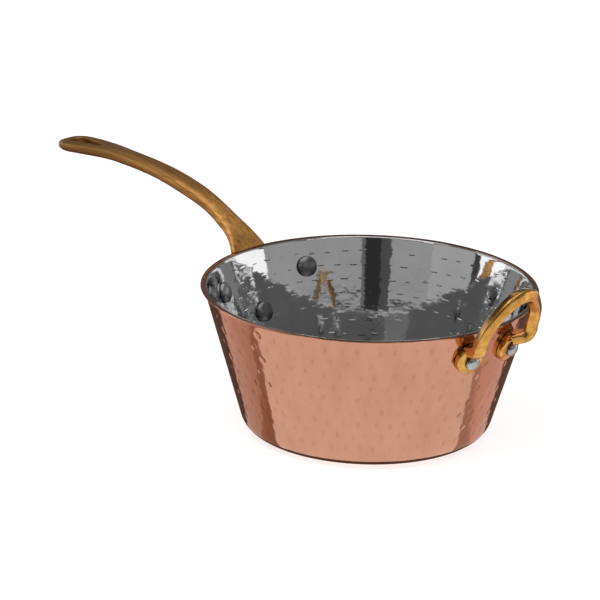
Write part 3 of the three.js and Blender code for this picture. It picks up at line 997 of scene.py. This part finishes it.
def polished_steel():
    """Cloudy polish, over slow ripples that break up what the lining mirrors."""
    ripple_scale = (100, 100, 150)
    ripple_height = 0.08 * MM

    def colour(paint):
        return paint.blend(paint.patches(45), STEEL_BRIGHT, STEEL_DULL)

    def roughness(paint):
        return 0.03 + 0.05 * paint.clouds(80)

    def normal(paint):
        return paint.bump(paint.noise(ripple_scale, detail=2), ripple_height)

    return metal("polished_steel", colour, roughness, normal)


def aged_brass():
    """Lines of tarnish along the long handle, whose brass is darker towards the tail."""
    line_scale = (30, 600, 600)
    line_height = 0.02 * MM
    tarnish_share = 0.8
    tail_start = 0.085
    tail_end = 0.20

    def colour(paint):
        lines = paint.patches(line_scale, low=0.4)
        tail = paint.spread(-1 * paint.along("X"), tail_start, tail_end)
        skin = paint.blend(tail, BRASS_BROWN, BRASS_TAIL)
        return paint.blend(tarnish_share * lines, skin, BRASS_TARNISH)

    def roughness(paint):
        return 0.36 + 0.16 * paint.clouds(line_scale)

    def normal(paint):
        return paint.bump(paint.grain(line_scale), line_height)

    return metal("aged_brass", colour, roughness, normal)


def golden_brass():
    """Cloudy polished brass, with painted shade on the side of the loop that leans over the pan, where it
    turns a darker, greyer brass.
    """
    grain_height = 0.01 * MM
    loop_lean = 0.39
    front_of_lean = -57.4 * MM
    back_of_lean = -55.6 * MM
    leg_foot = 62 * MM
    leg_clear = 66 * MM

    def colour(paint):
        skin = paint.blend(paint.patches(260, high=0.75), BRASS_GOLD, BRASS_DEEP)
        up = paint.along("Z")
        back = paint.spread(loop_lean * up - paint.along("X"), front_of_lean, back_of_lean)
        # Painted shade: above the legs' feet, the side of the loop that leans over the pan turns darker and
        # greyer
        return paint.blend(back * paint.spread(up, leg_foot, leg_clear), skin, BRASS_PAINTED_SHADE)

    def roughness(paint):
        return 0.15 + 0.12 * paint.clouds(400)

    def normal(paint):
        return paint.bump(paint.grain(900), grain_height)

    return metal("golden_brass", colour, roughness, normal)


def satin_rivet_steel():
    """Satin steel. At the long handle it is rougher, and inside the pan there its colour is darkened as
    painted shade, least on the rivet at its left.
    """
    grain_height = 0.004 * MM
    shade_share = 0.75
    shade_lift_share = 0.5
    dull_roughness = 0.10

    def handle_side(paint):
        """1 on the long handle's side of the pan and 0 on the loop's side."""
        return paint.spread(-1 * paint.along("X"), 0, 20 * MM)

    def colour(paint):
        skin = paint.blend(paint.patches(420), RIVET_GREY, RIVET_DARK)
        # Painted shade: the long handle's rivets darken, and the rivet at its left darkens less
        shade_lift = paint.spread(-1 * paint.along("Y"), 10 * MM, 25 * MM)
        return paint.blend(handle_side(paint) * (shade_share - shade_lift_share * shade_lift), skin, RIVET_PAINTED_SHADE)

    def roughness(paint):
        return 0.18 + 0.12 * paint.clouds(700) + dull_roughness * handle_side(paint)

    def normal(paint):
        return paint.bump(paint.grain(1800), grain_height)

    return metal("satin_rivet_steel", colour, roughness, normal)


def dress(piece, material, node):
    """Gives a piece its finish and sets it in the place of its solid."""
    piece.data.materials.clear()
    piece.data.materials.append(material)
    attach(piece, "root")
    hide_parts(node)


# Studio

# Boards round the pan, in metres: the booth's sides and front, and the room behind it
BOOTH_SIDE = 0.90
BOOTH_FRONT = 0.80
BOARD_STEP = 0.01
BOARD_FOOT = 0.258
BOARD_END_FOOT = 0.288
BOARD_TOP = 0.45
LOW_BOARD_TOP = 0.30
LIGHT_BOARD_TOP = 0.24
SOFTBOX_FOOT = 0.497
SOFTBOX_TOP = 0.57
ROOM_SIDE = 3
ROOM_BACK = -2
CEILING = 0.95
CEILING_EDGE = -0.80
FLOOR_CARD_LIFT = 0.4 * MM
NEAR_FLOOR = 0.04
MOTTLE_SCALE = 45

# Tints of the boards
WHITE = (1, 1, 1, 1)
WARM = (1, 0.78, 0.72, 1)
BROWN = (1, 0.72, 0.58, 1)
RED = (1, 0.62, 0.48, 1)

# Floor and world
FLOOR_WHITE = (0.80, 0.80, 0.80, 1)
FLOOR_ROUGHNESS = 0.9
FLOOR_GLOW = 0.72
FLOOR_SIZE = 8
FLOOR_DROP = 0.2 * MM
WORLD_LIGHT = 0.30


def studio(right, front, up):
    """A place in the studio: metres to the camera's right, towards the camera and up."""
    turn = Matrix.Rotation(STUDIO_TURN, 3, "Z")
    return turn @ Vector((right, -front, up))


def glow(name, colour, mottle):
    """Light as strong as a board's own corners say, with soft patches if it is mottled."""
    material = bpy.data.materials.new(name)
    material.use_nodes = True
    tree = material.node_tree
    tree.nodes.remove(tree.nodes["Principled BSDF"])
    paint = Paint(tree)
    strength = paint.attribute("strength")
    if mottle:
        strength = strength * (1 - mottle + 2 * mottle * paint.noise(MOTTLE_SCALE, detail=1))
    light = paint.node("ShaderNodeEmission", inputs={"Color": colour, "Strength": strength})
    paint.feed(tree.nodes["Material Output"].inputs["Surface"], light)
    return material


def show_in_metal_only(board, name, colour, strengths, mottle=0):
    """Makes a board that shows only in the metal's reflections. Strengths are those of its corners."""
    board.data.attributes.new("strength", "FLOAT", "POINT").data.foreach_set("value", strengths)
    board.data.materials.append(glow(name, colour, mottle))
    board.visible_camera = False
    board.visible_diffuse = False
    board.visible_shadow = False
    board.visible_transmission = False


def card(name, corners, colour, start, end=None, mottle=0):
    """A board over four places in the studio, its light going from start to end between its long sides."""
    deselect_all()
    bpy.ops.mesh.primitive_plane_add(size=1)
    board = named(name)
    spots = [studio(*corner) for corner in corners]
    for point, spot in zip(board.data.vertices, (spots[0], spots[1], spots[3], spots[2])):
        point.co = spot
    end = start if end is None else end
    show_in_metal_only(board, name, colour, (start, start, end, end), mottle)


def upright(start, end, foot, top, end_foot=None):
    """Corners of a board that stands between two places. Its foot may climb towards the end."""
    end_foot = foot if end_foot is None else end_foot
    return [(*start, foot), (*end, end_foot), (*end, top), (*start, top)]


def level(outline, height):
    """Corners of a board that lies level over four places on the floor."""
    return [(*place, height) for place in outline]


def lying(left, right, back, front, height):
    """Corners of a square-cut board that lies level."""
    return level([(left, back), (right, back), (right, front), (left, front)], height)


def set_front_boards():
    """Grey boards before the pan, dark boards below and between them, and a softbox over each."""
    side, front, top = BOOTH_SIDE, BOOTH_FRONT, BOARD_TOP
    foot, end_foot = BOARD_FOOT, BOARD_END_FOOT
    card("front_left_board", upright((-0.235, front), (-side, front), foot, top, end_foot), WHITE, 0.43)
    card("front_right_board", upright((0.08, front), (side, front), foot, top, end_foot), WHITE, 0.43)
    behind = front + BOARD_STEP
    card("front_low_board", upright((-side, behind), (side, behind), 0, LOW_BOARD_TOP), WHITE, 0.06)
    before = front - BOARD_STEP
    card("gap_board", upright((-0.12, before), (0.045, before), 0, top), WHITE, 0.037)
    card("gap_left_board", upright((-0.24, before), (-0.12, before), 0, top), WHITE, 0.10)
    card("gap_right_board", upright((0.045, before), (0.085, before), 0, top), WHITE, 0.18)
    card("left_softbox", upright((-0.30, front), (-side, front), SOFTBOX_FOOT, SOFTBOX_TOP), WHITE, 1.8)
    card("right_softbox", upright((0.20, front), (side, front), SOFTBOX_FOOT, SOFTBOX_TOP), WHITE, 1.8)


def set_side_boards():
    """Grey boards beside the pan, dark boards below them, and bright boards further back."""
    side, front, top = BOOTH_SIDE, BOOTH_FRONT, BOARD_TOP
    card("left_board", upright((-side, 0.10), (-side, front), 0.15, top, BOARD_END_FOOT), WHITE, 0.52)
    card("right_board", upright((side, 0.10), (side, front), 0.15, top, BOARD_END_FOOT), WHITE, 0.44)
    outside = side + BOARD_STEP
    card("left_low_board", upright((-outside, 0), (-outside, front), 0, LOW_BOARD_TOP), WHITE, 0.06)
    card("right_low_board", upright((outside, 0), (outside, front), 0, LOW_BOARD_TOP), WHITE, 0.06)
    card("left_light_board", upright((-side, -0.40), (-side, 0), 0, LIGHT_BOARD_TOP), WHITE, 1.5)
    card("right_light_board", upright((side, -0.40), (side, 0.10), 0, LIGHT_BOARD_TOP), WHITE, 1.5)
    card("handle_board", upright((-side, -0.30), (-side, 0.06), LIGHT_BOARD_TOP, 0.62), WHITE, 0.9)


def set_back_boards():
    """A dim wall behind the pan, with bright boards on its left."""
    side, back = ROOM_SIDE, ROOM_BACK
    card("back_board", upright((-side, back), (side, back), 0, CEILING), WHITE, 0.14)
    card("left_back_board", upright((-side, -1.9), (-0.80, -1.9), 0.55, CEILING), WHITE, 0.9)
    card("left_back_low_board", upright((-side, -1.95), (-1.2, -1.95), 0, 0.56), WHITE, 0.9)


def set_ceiling_boards():
    """A grey ceiling, dark behind the pan, with brighter boards hung just below it."""
    side, edge = ROOM_SIDE, CEILING_EDGE
    card("ceiling_board", lying(-side, side, edge, side, CEILING), WHITE, 0.20)
    card("back_ceiling", lying(-side, side, -side, edge, CEILING), WHITE, 0.04)
    card("right_back_ceiling", lying(0.38, side, ROOM_BACK, -0.30, CEILING - MM), WHITE, 0.34)
    hung = CEILING - BOARD_STEP
    card("overhead_board", lying(-0.66, 0.40, -0.40, 0.66, hung), WHITE, 1.3)
    card("loop_board", lying(0.02, 0.34, -0.60, -0.40, hung), WHITE, 1.3)
    card("loop_back_board", lying(-0.50, -0.10, -1.65, -1.05, hung - BOARD_STEP), WHITE, 0.8)


def set_floor_boards():
    """Tinted boards on the floor beside the pan, darker ones over them, and the pan's own shade."""
    low = FLOOR_CARD_LIFT
    card("left_near_floor", lying(-0.19, -0.005, 0.028, NEAR_FLOOR, low), RED, 0.46, 0.34)
    card("right_near_floor", lying(0.02, 0.50, 0.029, NEAR_FLOOR, low), WARM, 0.58, 0.48)
    card("left_mid_floor", lying(-0.19, -0.03, -0.10, 0.028, low), WARM, 0.90, 0.60)
    under_handle = [(-0.19, -0.40), (-0.19, 0.20), (-0.60, 0.20), (-0.60, -0.40)]
    card("handle_floor", level(under_handle, low), WARM, 0.35, 0.14)
    card("right_mid_floor", lying(0.03, 0.50, -0.30, 0.029, low), WARM, 1.0, 0.78)
    left_dark = [(-0.0565, 0.014), (-0.35, -0.255), (-0.07, -0.26), (-0.055, -0.01)]
    card("left_dark_floor", level(left_dark, 2 * low), RED, 0.11)
    right_dark = [(0.0565, 0.014), (0.37, -0.24), (0.07, -0.26), (0.055, -0.01)]
    card("right_dark_floor", level(right_dark, 2 * low), RED, 0.13)
    card("front_floor", lying(-0.40, 0.40, NEAR_FLOOR, 0.18, low), WHITE, 1.0, mottle=0.09)
    card("front_far_floor", lying(-0.60, 0.60, 0.18, 0.60, low), WHITE, 0.85)
    deselect_all()
    lift = (0, 0, 3 * low)
    bpy.ops.mesh.primitive_circle_add(
        vertices=2 * ROUND_STEPS, radius=BASE_RADIUS, fill_type="NGON", location=lift
    )
    shade = named("contact_shade")
    settle(shade)
    show_in_metal_only(shade, "contact_shade", BROWN, [0.12] * len(shade.data.vertices))


def seen_directly(paint):
    """1 for rays from the camera and for reflected and refracted rays, 0 for rays that carry light."""
    path = paint.node("ShaderNodeLightPath")
    outputs = path.socket.node.outputs
    camera = Wire(paint, outputs["Is Camera Ray"])
    glossy = Wire(paint, outputs["Is Glossy Ray"])
    transmission = Wire(paint, outputs["Is Transmission Ray"])
    some = paint.node("ShaderNodeMath", {"operation": "MAXIMUM"}, {0: camera, 1: glossy})
    return paint.node("ShaderNodeMath", {"operation": "MAXIMUM"}, {0: some, 1: transmission})


def set_floor():
    """A white floor that glows where it is seen, so that it meets the background without an edge."""
    deselect_all()
    bpy.ops.mesh.primitive_plane_add(size=FLOOR_SIZE, location=(0, 0, -FLOOR_DROP))
    floor = named("studio_floor")
    settle(floor)
    material = bpy.data.materials.new("white_floor")
    material.use_nodes = True
    shader = material.node_tree.nodes["Principled BSDF"]
    paint = Paint(material.node_tree)
    shader.inputs["Base Color"].default_value = FLOOR_WHITE
    shader.inputs["Roughness"].default_value = FLOOR_ROUGHNESS
    shader.inputs["Specular IOR Level"].default_value = 0.0
    strength = FLOOR_GLOW * seen_directly(paint)
    glowing = paint.node("ShaderNodeEmission", inputs={"Color": WHITE, "Strength": strength})
    surface = paint.node("ShaderNodeAddShader", inputs={0: Wire(paint, shader.outputs[0]), 1: glowing})
    paint.feed(material.node_tree.nodes["Material Output"].inputs["Surface"], surface)
    floor.data.materials.append(material)


def set_world():
    """A dim white world that looks white where it is seen."""
    world = bpy.data.worlds.new("studio")
    world.use_nodes = True
    bpy.context.scene.world = world
    paint = Paint(world.node_tree)
    background = world.node_tree.nodes["Background"]
    background.inputs["Color"].default_value = WHITE
    seen = seen_directly(paint)
    paint.feed(background.inputs["Strength"], WORLD_LIGHT + (1 - WORLD_LIGHT) * seen)


def lamp(name, place, size, energy):
    """A round soft lamp that points at the pan and leaves no spot of its own in the metal."""
    data = bpy.data.lights.new(name, "AREA")
    data.shape = "DISK"
    data.size = size
    data.energy = energy
    light = bpy.data.objects.new(name, data)
    light.location = studio(*place)
    light.rotation_euler = (-light.location).to_track_quat("-Z", "Y").to_euler()
    light.visible_glossy = False
    bpy.context.scene.collection.objects.link(light)


def set_camera():
    right = CAMERA_AIM.cross(Vector((0, 0, 1))).normalized()
    upward = right.cross(CAMERA_AIM)
    rolled_right = math.cos(CAMERA_ROLL) * right + math.sin(CAMERA_ROLL) * upward
    rolled_up = math.cos(CAMERA_ROLL) * upward - math.sin(CAMERA_ROLL) * right
    data = bpy.data.cameras.new("photo_camera")
    data.lens = CAMERA_LENS
    data.sensor_width = CAMERA_SENSOR
    data.clip_end = CAMERA_REACH
    camera = bpy.data.objects.new("photo_camera", data)
    turn = Matrix((rolled_right, rolled_up, -CAMERA_AIM)).transposed().to_4x4()
    camera.matrix_world = Matrix.Translation(CAMERA_PLACE) @ turn
    bpy.context.scene.collection.objects.link(camera)
    bpy.context.scene.camera = camera


# The saucepan

blows = hammer_blows()
shell = copper_shell(blows)
lining = steel_lining(blows)
handle = long_handle()
helper = helper_handle()
handle_rivet_names = ["left_handle_rivet", "right_handle_rivet", "lower_handle_rivet"]
handle_rivets = set_rivets(handle_rivet_names, HANDLE_PLACES, HANDLE_RIVET_HEIGHT, FLANGE_THICKNESS)
helper_rivet_names = ["left_helper_rivet", "right_helper_rivet"]
helper_rivets = set_rivets(helper_rivet_names, HELPER_PLACES, HELPER_RIVET_HEIGHT, LUG_THICKNESS)

rivet_finish = satin_rivet_steel()
dress(shell, polished_copper(), "copper_shell")
dress(lining, polished_steel(), "steel_lining")
dress(handle, aged_brass(), "long_handle")
dress(helper, golden_brass(), "helper_handle")
for rivet, node in zip(handle_rivets, ("handle_rivet_left", "handle_rivet_right", "handle_rivet_lower")):
    dress(rivet, rivet_finish, node)
for rivet, node in zip(helper_rivets, ("helper_rivet_left", "helper_rivet_right")):
    dress(rivet, rivet_finish, node)

set_floor()
set_front_boards()
set_side_boards()
set_back_boards()
set_ceiling_boards()
set_floor_boards()
set_world()
lamp("key_light", place=(-0.7, 0.6, 1.6), size=1.2, energy=7)
lamp("fill_light", place=(0.9, 0.3, 1.4), size=1.2, energy=4)
set_camera()
bpy.context.scene.view_settings.view_transform = "Standard"
